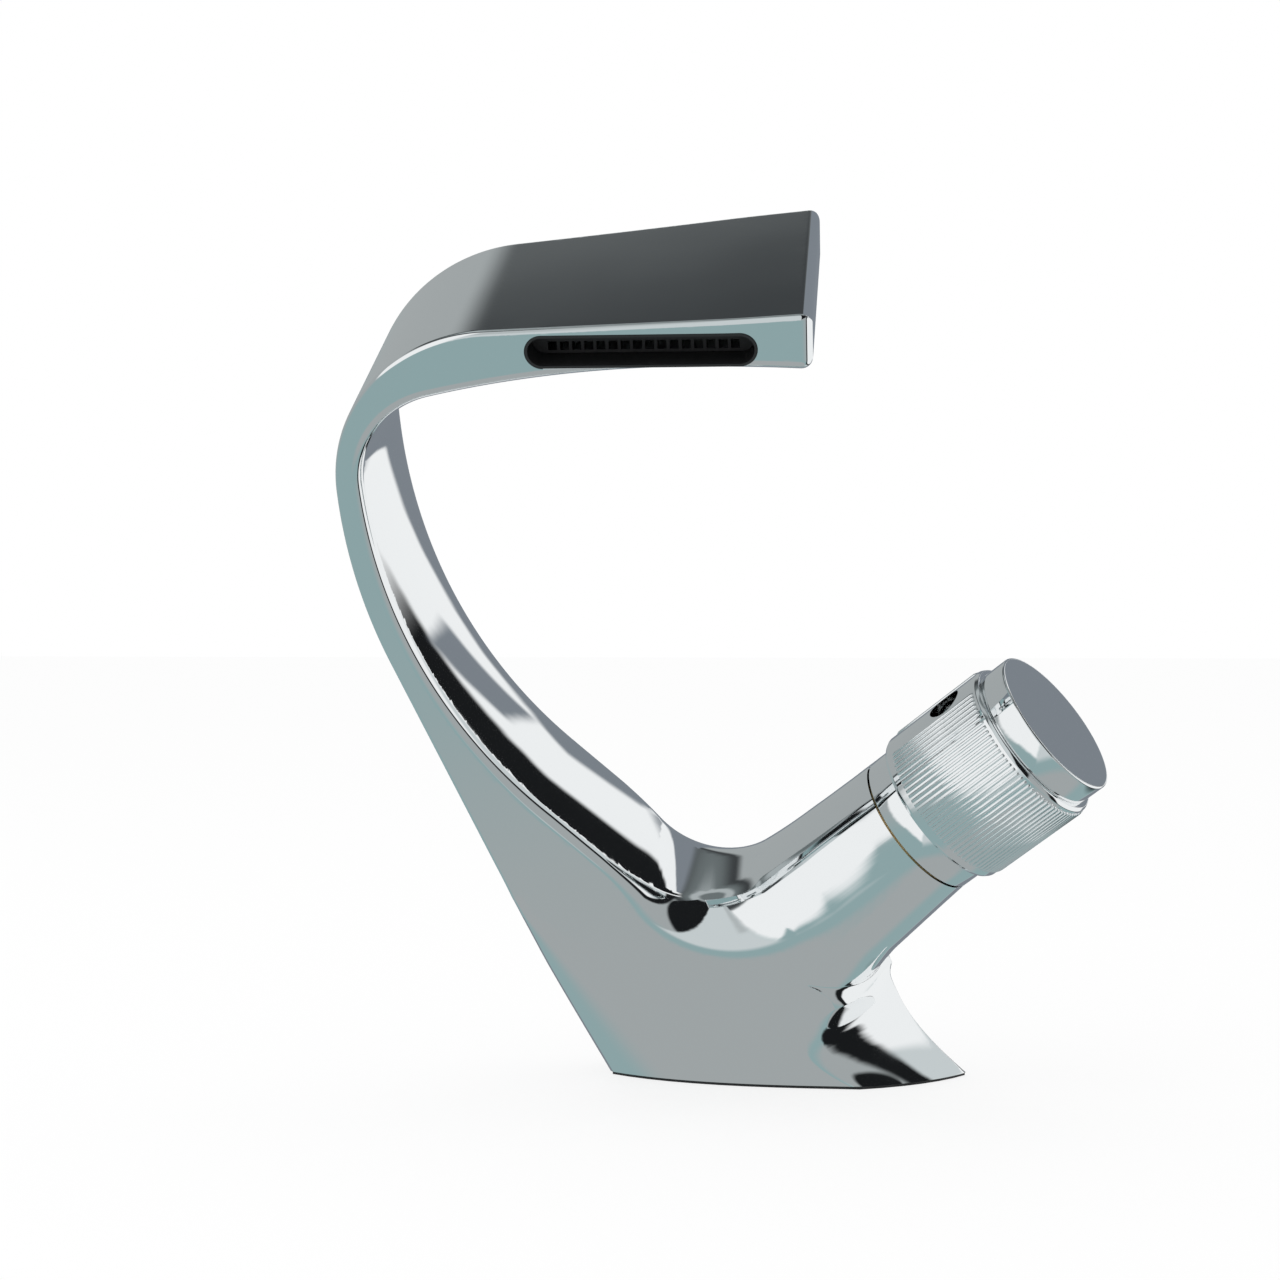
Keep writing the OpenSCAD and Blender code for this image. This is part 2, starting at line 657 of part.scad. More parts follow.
// Knurled sleeve: a ribbed tube with bevelled ends, a solid middle for the stem and a seat for the cap
skirt_d = 34.8;
skirt_h = 9;
boss_d = 15;
boss_h = 3;
cap_seat = 4.2;
spigot_d = 31;
bevel = 0.8;
sleeve_z = ring_h - free;
sleeve_top = ring_h + sleeve_h;
screw_share = 0.64;
screw_z = ring_h + sleeve_h * screw_share;
screw_turn = -8;
screw_seat = 12;
screw_head_d = 8;
knurl_shares = [[0, 0], [0.3, 0], [0.5, 1], [0.8, 1]];
module knurl() {
    pitch = 360 / knurl_count;
    polygon([for (i = [0:knurl_count - 1]) for (s = knurl_shares)
        let (a = pitch * (i + s[0]), r = sleeve_d / 2 - knurl_depth * s[1]) r * [cos(a), sin(a)]]);
}
module handle_sleeve() {
    color("silver") stub_frame() difference() {
        intersection() {
            translate([0, 0, sleeve_z]) linear_extrude(height = sleeve_top - sleeve_z) knurl();
            rotate_extrude() polygon([[0, sleeve_z], [sleeve_d / 2 - bevel, sleeve_z],
                [sleeve_d / 2, sleeve_z + bevel], [sleeve_d / 2, sleeve_top - bevel],
                [sleeve_d / 2 - bevel, sleeve_top], [0, sleeve_top]]);
        }
        translate([0, 0, sleeve_z - over]) difference() {
            cylinder(d = skirt_d, h = skirt_h + boss_h + over);
            translate([0, 0, skirt_h]) cylinder(d = boss_d, h = boss_h + 2 * over);
        }
        translate([0, 0, sleeve_top - cap_seat]) cylinder(d = spigot_d + 2 * fit, h = cap_seat + over);
        translate([0, 0, sleeve_z - over])
            cylinder(d = stem_d + 2 * running, h = stem_top - sleeve_z + over);
        translate([0, 0, screw_z]) rotate([0, 0, screw_turn]) rotate([0, -90, 0]) {
            cylinder(d = screw_d + 2 * fit, h = sleeve_d);
            translate([0, 0, screw_seat]) cylinder(d = screw_head_d, h = sleeve_d);
        }
    }
}

socket_share = 0.5;
module grub_screw() {
    color("silver") stub_frame() translate([0, 0, screw_z]) rotate([0, 0, screw_turn]) rotate([0, -90, 0])
        difference() {
            translate([0, 0, stem_d / 2 + running]) cylinder(d = screw_d, h = screw_seat - stem_d / 2);
            translate([0, 0, screw_seat - screw_d * socket_share])
                cylinder(d = screw_d * socket_share, h = screw_d, $fn = 6);
        }
}

cap_edge = 0.5;
cap_groove = 1.3;
cap_groove_z = 1.2;
module handle_cap() {
    color("silver") stub_frame() translate([0, 0, sleeve_top])
        rotate_extrude() polygon([[0, -cap_seat + fit],
        [spigot_d / 2, -cap_seat + fit], [spigot_d / 2, -cap_groove_z - cap_groove],
        [spigot_d / 2 - cap_groove, -cap_groove_z - cap_groove], [spigot_d / 2 - cap_groove, -cap_groove_z],
        [spigot_d / 2, -cap_groove_z], [spigot_d / 2, 0], [cap_d / 2, 0], [cap_d / 2, cap_h - cap_edge],
        [cap_d / 2 - cap_edge, cap_h], [0, cap_h]]);
}

module cap_seal() {
    color("dimgray") stub_frame() translate([0, 0, sleeve_top - cap_groove_z - cap_groove / 2])
        rotate_extrude()
        translate([spigot_d / 2 - cap_groove / 2, 0]) circle(d = cap_groove - fit);
}

// Deck fixing: stud, horseshoe washers and nut
washer_y = -1;
horseshoe_w = 30;
nut_clear = 0.6;
module mounting_stud() {
    color("silver") translate([0, stud_y, gasket_show + stud_grip - stud_l])
        cylinder(d = stud_d, h = stud_l);
}
module horseshoe(h) {
    linear_extrude(height = h) difference() {
        translate([0, washer_y]) circle(d = washer_d);
        translate([0, stud_y]) circle(d = stud_d + nut_clear);
        translate([0, inlet_y]) stadium(horseshoe_w + over, inlet_d + over);
        translate([-horseshoe_w / 2, -washer_d]) square([horseshoe_w, washer_d + inlet_y]);
    }
}
module rubber_washer() {
    color("dimgray") translate([0, 0, -deck_h - rubber_h]) horseshoe(rubber_h);
}
module steel_washer() {
    color("silver") translate([0, 0, -deck_h - rubber_h - steel_h]) horseshoe(steel_h);
}
module clamp_nut() {
    color("goldenrod") translate([0, stud_y, -deck_h - rubber_h - steel_h - nut_h]) difference() {
        cylinder(d = nut_flats / cos(30), h = nut_h, $fn = 6);
        translate([0, 0, -over]) cylinder(d = stud_d + 2 * fit, h = nut_h + 2 * over);
    }
}

body();
spout_insert();
flow_grid();
insert_seal();
base_gasket();
cartridge_housing();
cartridge_base();
hot_seal();
cold_seal();
outlet_seal();
fixed_disc();
moving_disc();
disc_carrier();
stem_guide();
stem();
stem_pin();
retaining_nut();
ring_seal();
cover_ring();
handle_sleeve();
handle_cap();
cap_seal();
grub_screw();
mounting_stud();
rubber_washer();
steel_washer();
clamp_nut();
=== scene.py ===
# Chrome waterfall basin faucet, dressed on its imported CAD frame. Each section works in
# millimetres, as a drawing of the faucet would, and MM turns them into metres.
import math

import bmesh
import bpy
import numpy as np
from mathutils import Matrix, Vector


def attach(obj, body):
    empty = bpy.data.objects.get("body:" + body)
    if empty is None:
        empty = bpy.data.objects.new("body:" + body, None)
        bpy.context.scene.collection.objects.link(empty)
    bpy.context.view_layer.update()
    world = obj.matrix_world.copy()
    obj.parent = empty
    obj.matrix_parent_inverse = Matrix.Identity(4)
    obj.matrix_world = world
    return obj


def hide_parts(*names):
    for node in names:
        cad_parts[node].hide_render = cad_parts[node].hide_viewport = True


MM = 0.001
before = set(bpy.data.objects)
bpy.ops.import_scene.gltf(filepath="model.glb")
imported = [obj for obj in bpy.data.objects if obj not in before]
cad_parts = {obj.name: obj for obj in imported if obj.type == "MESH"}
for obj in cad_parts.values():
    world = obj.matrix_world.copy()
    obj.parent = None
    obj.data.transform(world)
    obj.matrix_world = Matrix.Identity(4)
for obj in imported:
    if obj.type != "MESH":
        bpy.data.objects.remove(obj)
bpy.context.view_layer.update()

# Studio: a camera at the photograph's angle, a pale floor, a soft room and one soft lamp.
# Polished metal shows only what stands round it, so the room has pale and grey bands for it.
FOCAL_PIXELS = 2300
PICTURE_PIXELS = 1280
camera_data = bpy.data.cameras.new("photo_camera")
camera_data.sensor_width = 36
camera_data.lens = 36 * FOCAL_PIXELS / PICTURE_PIXELS
camera_data.clip_start = 0.01
camera = bpy.data.objects.new("photo_camera", camera_data)
bpy.context.scene.collection.objects.link(camera)
camera.location = (21.1 * MM, -545.9 * MM, 107.2 * MM)
camera.rotation_euler = (math.radians(89.5), 0, math.radians(6))
bpy.context.scene.camera = camera
bpy.context.scene.view_settings.view_transform = "Standard"


class Signal:
    """A value on its way through a shader: an expression on it adds its Math nodes."""

    def __init__(self, tree, socket):
        self.tree, self.socket = tree, socket

    def maths(self, operation, *values, clamp=False):
        return add(self.tree, "ShaderNodeMath", {"operation": operation, "use_clamp": clamp},
                   dict(enumerate(values)))

    def __add__(self, other):
        return self.maths("ADD", self, other)

    def __sub__(self, other):
        return self.maths("SUBTRACT", self, other)

    def __rsub__(self, other):
        return self.maths("SUBTRACT", other, self)

    def __mul__(self, other):
        return self.maths("MULTIPLY", self, other)

    def __truediv__(self, other):
        return self.maths("DIVIDE", self, other)

    __radd__ = __add__
    __rmul__ = __mul__

    def above(self, low, high):
        """Rises from 0 at low to 1 at high."""
        return add(self.tree, "ShaderNodeMapRange", {"interpolation_type": "SMOOTHSTEP"},
                   {"Value": self, "From Min": low, "From Max": high})


def add(tree, kind, settings=None, inputs=None, output=0):
    """One node: its settings are set first, then its sockets get their values or links."""
    node = tree.nodes.new(kind)
    for name, value in (settings or {}).items():
        if name == "stops":
            ramp = node.color_ramp.elements
            while len(ramp) < len(value):
                ramp.new(1)
            for stop, (place, colour) in zip(ramp, value):
                stop.position, stop.color = place, (*colour, 1)
        else:
            setattr(node, name, value)
    for name, value in (inputs or {}).items():
        if isinstance(value, Signal):
            tree.links.new(value.socket, node.inputs[name])
        else:
            node.inputs[name].default_value = value
    return Signal(tree, node.outputs[output]) if len(node.outputs) else None


def mixed(factor, first, second):
    """One colour turning into another as factor goes from 0 to 1."""
    values = [value if isinstance(value, Signal) else (*value, 1) for value in (first, second)]
    return add(factor.tree, "ShaderNodeMix", {"data_type": "RGBA"},
               {0: factor, 6: values[0], 7: values[1]}, output=2)


def parted(tree, vector):
    """The three numbers of a vector."""
    node = add(tree, "ShaderNodeSeparateXYZ", None, {0: vector}).socket.node
    return [Signal(tree, output) for output in node.outputs]


world = bpy.data.worlds.new("room")
bpy.context.scene.world = world
world.use_nodes = True
room = world.node_tree
room.nodes.clear()
direction = add(room, "ShaderNodeTexCoord", output=0)
ripple = add(room, "ShaderNodeTexNoise", None, {"Vector": direction, "Scale": 5, "Detail": 3})
side, away, height = parted(room, direction)
DEGREE = 180 / math.pi
shake = (ripple - 0.5) * 3
turn = side.maths("ARCTAN2", side, away * -1) * DEGREE + shake
rise = height.maths("ARCSINE", height, 0) * DEGREE + shake


def span(value, low, high, soft):
    """1 between low and high, fading over soft degrees at both ends."""
    half = soft / 2
    return value.above(low - half, low + half) * value.above(high + half, high - half)


# what stands round the faucet, by degrees to the right of the camera and above the horizon:
# pale walls, a darker ceiling, and a pale panel behind the camera
INK, COAL, SLATE = (0.010, 0.011, 0.012), (0.05, 0.055, 0.058), (0.155, 0.178, 0.182)
STONE, TEAL = (0.376, 0.402, 0.407), (0.285, 0.40, 0.41)
PALE, WHITE, HAZE = (0.60, 0.645, 0.655), (0.92, 0.93, 0.935), (0.21, 0.235, 0.265)
seen = mixed(rise.above(-66, -54), STONE, mixed(rise.above(-28, 20), TEAL, STONE))
seen = mixed(span(turn, 10, 80, 14) * rise.above(-52, -30), seen, STONE)
seen = mixed(rise.above(40, 50), seen, COAL)
seen = mixed(rise.above(50, 66), seen, SLATE)
seen = mixed(span(rise, 66, 76, 6) * 0.6, seen, PALE)
seen = mixed(span(turn, -17, 19, 4) * span(rise, -42, 62, 10), seen, PALE)
seen = mixed(span(turn, -16, -10, 5) * span(rise, -5, 60, 10) * 0.6, seen, STONE)
# a wide window on the left, and a dark doorway on the right
window = (rise + turn * 1.05).above(-60, -55) * turn.above(-15, -20)
window = window * (rise - (turn + 50).maths("MINIMUM", turn + 50, 0) * 0.45).above(46, 41)
seen = mixed(window, seen, WHITE)
dark = span(turn, 19, 78, 3) * (rise - turn * 1.15).above(-52, -46) * rise.above(76, 70)
seen = mixed(dark, seen, INK)
# a round lamp with a dark rim, far to the right
across, up = (turn - 112) / 40, rise / 42
disc = across * across + up * up
seen = mixed(disc.above(1.75, 1.45), seen, INK)
seen = mixed(disc.above(1.08, 0.92), seen, mixed(rise.above(2, 14), WHITE, PALE))
# the wall behind, whose slanting strips run along the inside of the C
behind = 180 - side.maths("ARCTAN2", side, away) * DEGREE + rise * 0.686 + shake
wall = span(behind, 138, 200, 4) * span(rise, -40, 56, 6) * away.above(0, 0.1)
seen = mixed(wall, seen, mixed(behind.above(167.5, 169.5), WHITE, HAZE))
seen = mixed(wall * rise.above(0, -4), seen, HAZE)
strip = behind.above(144, 146) * (behind - rise * 0.2).above(151, 149) * rise.above(2, 12)
seen = mixed(wall * strip, seen, INK)
seen = mixed(span(turn, 143, 152, 2) * span(rise, 13, 23, 2), seen, HAZE)
path_node = room.nodes.new("ShaderNodeLightPath")
glossy = Signal(room, path_node.outputs["Is Glossy Ray"])
seen = mixed(glossy, (1, 1, 1), seen)
lit = add(room, "ShaderNodeBackground", None, {0: seen, 1: 1.0})
add(room, "ShaderNodeOutputWorld", None, {0: lit})

floor_mesh = bpy.data.meshes.new("floor")
floor_mesh.from_pydata([(-6, -6, 0), (6, -6, 0), (6, 6, 0), (-6, 6, 0)], [], [(0, 1, 2, 3)])
floor = bpy.data.objects.new("floor", floor_mesh)
bpy.context.scene.collection.objects.link(floor)
floor_paint = bpy.data.materials.new("floor_paint")
floor_paint.use_nodes = True
paper = floor_paint.node_tree
paper.nodes.clear()
path_node = paper.nodes.new("ShaderNodeLightPath")
glossy = Signal(paper, path_node.outputs["Is Glossy Ray"])
by_camera = Signal(paper, path_node.outputs["Is Camera Ray"])
matt = add(paper, "ShaderNodeBsdfDiffuse", None, {0: (0.9, 0.9, 0.9, 1)})
white = add(paper, "ShaderNodeEmission", None, {0: (1, 1, 1, 1)})
mirror_view = add(paper, "ShaderNodeBsdfTransparent", None, {0: (1, 1, 1, 1)})
plain = add(paper, "ShaderNodeMixShader", None, {0: by_camera * 0.8, 1: matt, 2: white})
both = add(paper, "ShaderNodeMixShader", None, {0: glossy, 1: plain, 2: mirror_view})
add(paper, "ShaderNodeOutputMaterial", None, {0: both})
floor_mesh.materials.append(floor_paint)

lamp_data = bpy.data.lights.new("soft_lamp", "AREA")
lamp_data.size = 0.8
lamp_data.energy = 3
lamp = bpy.data.objects.new("soft_lamp", lamp_data)
bpy.context.scene.collection.objects.link(lamp)
lamp.location = (-0.5, -0.7, 1.1)
lamp.rotation_euler = (Vector((0, 0, 0.1)) - lamp.location).to_track_quat("-Z", "Y").to_euler()
lamp.visible_glossy = False

# Body: one hollow brass casting, ground and polished, then nickel and chrome plated.
# A leaning C-shaped strip stands on a pointed foot and a round stub carries the handle.
# It is drawn as a distance field, in millimetres, so that every blend flows as on the casting.
LEAN = math.radians(29)
COS, SIN, TAN = math.cos(LEAN), math.sin(LEAN), math.tan(LEAN)
FRONT = 17.5
HALF = FRONT / COS
STUB_X, STUB_V, STUB_ANGLE, STUB_R = 29.2, 71.1, math.radians(42.4), 16.7
SPOUT_END, DEEP = 8, -40
OUTER_EDGE = ((8, 197.6, 182), [(6.2, 0, 0), (56.8, 0, 0), (0, 34, 88), (0, 120, 19.4), (49, 0, 0)])
INNER_EDGE = ((8, 185.9, 175.7), [(6.2, 0, 0), (0, 236, 16.9), (0, 19.3, 78.5), (0, 117, 42.9),
                                  (28.8, 0, 0), (0, 17, 88.4), (60, 0, 0)])


def eased(x, low, high):
    t = np.clip((x - low) / (high - low), 0, 1)
    return t * t * (3 - 2 * t)


def beside(chain, u, v):
    """Distance to a chain of straights and left-hand arcs, positive on its right; the run
    along it; and its whole length."""
    (x, y, heading), segments = chain
    heading = math.radians(heading)
    best, signed, run_at, run = np.full(u.shape, 1e9), np.zeros(u.shape), np.zeros(u.shape), 0
    for k, (length, radius, turn) in enumerate(segments):
        c, s, turn = math.cos(heading), math.sin(heading), math.radians(turn)
        if radius == 0:
            t = (u - x) * c + (v - y) * s
            here = np.clip(t, -1e9 if k == 0 else 0, 1e9 if k == len(segments) - 1 else length)
            gap = np.hypot(u - x - here * c, v - y - here * s)
            sided = np.where((u - x) * s < (v - y) * c, -gap, gap)
            x, y = x + length * c, y + length * s
        else:
            cx, cy = x - radius * s, y + radius * c
            du, dv = u - cx, v - cy
            angle = np.arctan2(dv, du) - heading + math.pi / 2 - turn / 2
            angle = np.clip(np.mod(angle + math.pi, 2 * math.pi) - math.pi + turn / 2, 0, turn)
            a = angle + heading - math.pi / 2
            gap = np.hypot(du - radius * np.cos(a), dv - radius * np.sin(a))
            sided = np.where(np.hypot(du, dv) < radius, -gap, gap)
            here, length = angle * radius, radius * turn
            heading += turn
            x, y = cx + radius * math.sin(heading), cy - radius * math.cos(heading)
        nearer = gap < best - 1e-9
        best, signed = np.where(nearer, gap, best), np.where(nearer, sided, signed)
        run_at = np.where(nearer, run + here, run_at)
        run += length
    return signed, run_at, run


def within(a, b, r):
    """What is inside both, with the edge between them rounded."""
    corner = np.hypot(np.maximum(a + r, 0), np.maximum(b + r, 0))
    return corner + np.minimum(np.maximum(a, b) + r, 0) - r


def joined(a, b, r):
    """What is inside either, with the corner between them filled."""
    corner = np.hypot(np.maximum(r - a, 0), np.maximum(r - b, 0))
    return r - corner + np.maximum(np.minimum(a, b) - r, 0)


def casting(p):
    """Distance to the body's surface, negative in the metal."""
    x, y, z = p.T
    w, v, yy = y * COS + z * SIN, -y * SIN + z * COS, y + z * TAN
    along = (x - STUB_X) * math.cos(STUB_ANGLE) + (v - STUB_V) * math.sin(STUB_ANGLE)
    under = (x - STUB_X) * math.sin(STUB_ANGLE) - (v - STUB_V) * math.cos(STUB_ANGLE)
    back = np.clip(-along, 0, 60)
    outer, run, whole = beside(OUTER_EDGE, x, v)
    depth = 35 + 28 * np.clip(1 - run / whole, 0, 1) ** 1.7
    top, run, _ = beside(INNER_EDGE, x, v)
    # the wall inside the C swells a little in the middle of its depth
    share = np.clip((w + FRONT) / depth, 0, 1)
    top = -top - 1.3 * (1 - (2 * share - 1) ** 2) * eased(run, 60, 105) * (1 - eased(run, 212, 240))
    top_round = 2.2 + 14.5 * eased(run, 205, 256)
    # the foot's left end runs up into the strip's outer edge, and a facet narrows it
    zc = np.clip(z, 0, 60)
    left = -42.2 - 0.47 * zc * (1 - 0.2 * zc / 57.4)
    shift = 6.83 * (1 - (1 - np.clip(zc / 57.4, 0, 1)) ** 2) * (yy + HALF) / (2 * HALF)
    foot_left = (left + shift - x) * 0.93
    edge = foot_left + (outer - foot_left) * eased(z, 28, 56)
    deep = 7.5 + (HALF - 7.5) * np.clip(zc / 46, 0, 1)
    facet = np.maximum(6 - 1.47 * zc - left, 4)
    t = np.clip((np.sqrt(np.maximum(0.49 + 1.2 * (x - left) / facet, 0)) - 0.7) / 0.6, -0.3, 1)
    taper = 0.8 * eased(along, -30, -4) * eased(x, -10, 10)
    face = np.maximum(-w - FRONT, w + FRONT - depth)
    face += (HALF - deep) * (1 - t) ** 2 * COS + taper
    # the flank takes the foot's right side back to its tip, under the swelling belly of the stub
    zt = np.clip(z, 0, 40)
    crease, shoulder, soft = 5 + 13 * ((zt - 12.4) / 12.4) ** 2, 14.5 - 3 * (zt - 23), 14
    near = np.maximum(soft - np.abs(crease - shoulder), 0)
    crease = np.minimum(crease, shoulder) - near ** 2 / (4 * soft)
    tip = 23.5 + 18.7 * np.maximum(1 - zt / 27, 0) ** 1.5
    bulge = 4 * np.maximum(1 - zt / 20, 0) ** 2
    inset = HALF - np.sqrt(yy ** 2 + 0.5)
    chord = HALF - 2 * bulge
    t = 2 * inset / (chord + np.sqrt(np.maximum(chord ** 2 + 8 * bulge * inset, 0)))
    flank = x - (crease * (1 - t) + tip * t + 2 * bulge * t * (1 - t))
    flank = flank * 0.7 + 0.9 * np.maximum(v - 33, 0)
    belly = under - STUB_R - 0.115 * back - 1.3 * eased(back, 22, 34)
    belly = within(belly, face, STUB_R + 0.6 * eased(back, 5, 30))
    right = joined(belly, within(flank, face, 1.6), 6)
    # the strip, cut back to the stub and the foot below, and to the spout's end above
    metal = np.maximum(within(top, face, top_round), within(edge, face, 1.0))
    metal = np.maximum(np.maximum(metal, face), np.where(v > 110, DEEP, right))
    metal = within(metal, np.where(v > 110, x - SPOUT_END, DEEP), 2.4)
    metal = np.maximum(metal, np.where((x > 0) & (v < 130), along - 4, DEEP))
    return np.maximum(metal, -5 - z)


def slopes(field, p, e=0.02):
    g = np.empty_like(p)
    for k in range(3):
        d = np.zeros(3)
        d[k] = e
        g[:, k] = (field(p + d) - field(p - d)) / (2 * e)
    return g


def settled(field, p, steps):
    """The points, moved on to the surface."""
    for _ in range(steps):
        g = slopes(field, p)
        move = (field(p) / np.maximum((g ** 2).sum(1), 0.25))[:, None] * g
        size = np.linalg.norm(move, axis=1, keepdims=True)
        p = p - move * np.minimum(1, 0.6 / np.maximum(size, 1e-9))
    return p


def netted(field, axes):
    """A net of four-sided cells round the surface, one point in each cell that the surface crosses."""
    shape = [len(axis) for axis in axes]
    values = np.empty(shape)
    yy, zz = np.meshgrid(axes[1], axes[2], indexing="ij")
    for i, x in enumerate(axes[0]):
        plane = np.stack([np.full(yy.size, x), yy.ravel(), zz.ravel()], 1)
        values[i] = field(plane).reshape(yy.shape)
    inside = values < 0
    total, count = np.zeros([n - 1 for n in shape] + [3]), np.zeros([n - 1 for n in shape])
    quads = []
    for k in range(3):
        first, second = [slice(None)] * 3, [slice(None)] * 3
        first[k], second[k] = slice(0, -1), slice(1, None)
        a, b = values[tuple(first)], values[tuple(second)]
        cross = (a < 0) != (b < 0)
        share = np.where(cross, a / np.where(cross, a - b, 1), 0)
        m, n = [j for j in range(3) if j != k]
        for dm in (0, 1):
            for dn in (0, 1):
                part = [slice(None)] * 3
                part[m], part[n] = slice(dm, shape[m] - 1 + dm), slice(dn, shape[n] - 1 + dn)
                hit = cross[tuple(part)]
                count += hit
                total[..., k] += hit * share[tuple(part)]
                total[..., m] += hit * dm
                total[..., n] += hit * dn
    index = np.full(count.shape, -1)
    index[count > 0] = np.arange((count > 0).sum())
    points = np.argwhere(count > 0) + total[count > 0] / count[count > 0][:, None]
    points = np.stack([np.interp(c, np.arange(len(axis)), axis)
                       for c, axis in zip(points.T, axes)], 1)
    for k in range(3):
        first, second = [slice(None)] * 3, [slice(None)] * 3
        first[k], second[k] = slice(0, -1), slice(1, None)
        m, n = (k + 1) % 3, (k + 2) % 3
        at = np.argwhere(inside[tuple(first)] != inside[tuple(second)])
        turned = inside[tuple(second)][tuple(at.T)]
        corners = []
        for dm, dn in ((1, 1), (0, 1), (0, 0), (1, 0)):
            cell = at.copy()
            cell[:, m] -= dm
            cell[:, n] -= dn
            corners.append(index[tuple(cell.T)])
        quad = np.stack(corners, 1)
        quad[turned] = quad[turned][:, ::-1]
        quads.append(quad)
    quads = np.concatenate(quads)
    return points, np.concatenate([quads[:, [0, 1, 2]], quads[:, [0, 2, 3]]])


def evened(field, points, triangles, times):
    """The points, slid along the surface towards the middle of their neighbours."""
    ends = np.concatenate([triangles[:, [0, 1]], triangles[:, [1, 2]], triangles[:, [2, 0]]])
    for _ in range(times):
        total, count = np.zeros_like(points), np.zeros(len(points))
        np.add.at(total, ends[:, 0], points[ends[:, 1]])
        np.add.at(count, ends[:, 0], 1)
        g = slopes(field, points)
        g /= np.maximum(np.linalg.norm(g, axis=1, keepdims=True), 1e-6)
        move = total / count[:, None] - points
        move -= (move * g).sum(1, keepdims=True) * g
        points = settled(field, points + 0.5 * move, 1)
    return points


def refined(field, points, triangles, bend, shortest):
    """Triangles split where the surface turns by more than bend between two points."""
    normals = slopes(field, points)
    normals /= np.maximum(np.linalg.norm(normals, axis=1, keepdims=True), 1e-6)
    pairs = np.concatenate([triangles[:, [0, 1]], triangles[:, [1, 2]], triangles[:, [2, 0]]])
    edges, back = np.unique(np.sort(pairs, 1), axis=0, return_inverse=True)
    back = back.ravel()
    turn = (normals[edges[:, 0]] * normals[edges[:, 1]]).sum(1)
    length = np.linalg.norm(points[edges[:, 0]] - points[edges[:, 1]], axis=1)
    split = (turn < math.cos(math.radians(bend))) & (length > shortest)
    number = np.full(len(edges), -1)
    number[split] = len(points) + np.arange(split.sum())
    middles = settled(field, points[edges[split]].mean(1), 2)
    points = np.concatenate([points, middles])
    n = len(triangles)
    mids = np.stack([number[back[:n]], number[back[n:2 * n]], number[back[2 * n:]]], 1)
    found = [triangles[(mids < 0).all(1)]]
    for k in range(3):
        tri, mid = np.roll(triangles, -k, 1), np.roll(mids, -k, 1)
        one = (mid[:, 0] >= 0) & (mid[:, 1] < 0) & (mid[:, 2] < 0)
        a, b, c, m = *tri[one].T, mid[one, 0]
        found += [np.stack([a, m, c], 1), np.stack([m, b, c], 1)]
        two = (mid[:, 0] >= 0) & (mid[:, 1] >= 0) & (mid[:, 2] < 0)
        a, b, c, m, n2 = *tri[two].T, mid[two, 0], mid[two, 1]
        found += [np.stack([m, b, n2], 1), np.stack([a, m, n2], 1), np.stack([a, n2, c], 1)]
    three = (mids >= 0).all(1)
    (a, b, c), (m, n2, o) = triangles[three].T, mids[three].T
    found += [np.stack(q, 1) for q in ((a, m, o), (m, b, n2), (o, n2, c), (m, n2, o))]
    return points, np.concatenate(found)


def turned(name, outline, steps, closed_axis=False):
    """A turned solid in the stub frame, from an outline of radius and height in millimetres."""
    mesh = bpy.data.meshes.new(name)
    work = bmesh.new()
    rows = []
    for radius, level in outline:
        if radius < 1e-6:
            rows.append([work.verts.new((0, 0, level * MM))])
        else:
            turns = [2 * math.pi * i / steps for i in range(steps)]
            rows.append([work.verts.new(Vector((radius * math.cos(a), radius * math.sin(a), level)) * MM)
                         for a in turns])
    for low, high in zip(rows, rows[1:] if closed_axis else rows[1:] + rows[:1]):
        for i in range(steps):
            j = (i + 1) % steps
            loop = [low[i % len(low)], low[j % len(low)], high[j % len(high)], high[i % len(high)]]
            loop = [v for k, v in enumerate(loop) if v not in loop[:k]]
            if len(loop) > 2:
                work.faces.new(loop)
    bmesh.ops.recalc_face_normals(work, faces=work.faces)
    work.to_mesh(mesh)
    work.free()
    mesh.shade_smooth()
    mesh.set_sharp_from_angle(angle=math.radians(35))
    return mesh


def carved(mesh, cutters):
    """The mesh with each cutter's shape taken out of it."""
    block = bpy.data.objects.new("block", mesh)
    bpy.context.scene.collection.objects.link(block)
    for cutter_mesh in cutters:
        cutter = bpy.data.objects.new("cutter", cutter_mesh)
        bpy.context.scene.collection.objects.link(cutter)
        cut = block.modifiers.new("cut", "BOOLEAN")
        cut.object, cut.solver = cutter, "EXACT"
        evaluated = block.evaluated_get(bpy.context.evaluated_depsgraph_get())
        block.data = bpy.data.meshes.new_from_object(evaluated)
        block.modifiers.clear()
        bpy.data.objects.remove(cutter)
    found = block.data
    bpy.data.objects.remove(block)
    found.shade_smooth()
    found.set_sharp_from_angle(angle=math.radians(35))
    return found


def new_piece(name, mesh, material, body):
    """A mesh as a piece in one finish, riding on a body."""
    piece = bpy.data.objects.new(name, mesh)
    bpy.context.scene.collection.objects.link(piece)
    mesh.materials.clear()
    mesh.materials.append(material)
    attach(piece, body)
    return piece


def finish(name, colour, metallic, roughness, **more):
    """A material with its main shader, and the tree and place that its details are drawn with."""
    material = bpy.data.materials.new(name)
    material.use_nodes = True
    tree = material.node_tree
    tree.nodes.clear()
    shader = add(tree, "ShaderNodeBsdfPrincipled", None,
                 {"Base Color": (*colour, 1), "Metallic": metallic, "Roughness": roughness, **more})
    add(tree, "ShaderNodeOutputMaterial", None, {0: shader})
    return material, tree, shader.socket.node, add(tree, "ShaderNodeTexCoord", output=3)


def noise(tree, place, scale, detail=2.0, rough=0.5):
    return add(tree, "ShaderNodeTexNoise", None,
               {"Vector": place, "Scale": scale, "Detail": detail, "Roughness": rough})


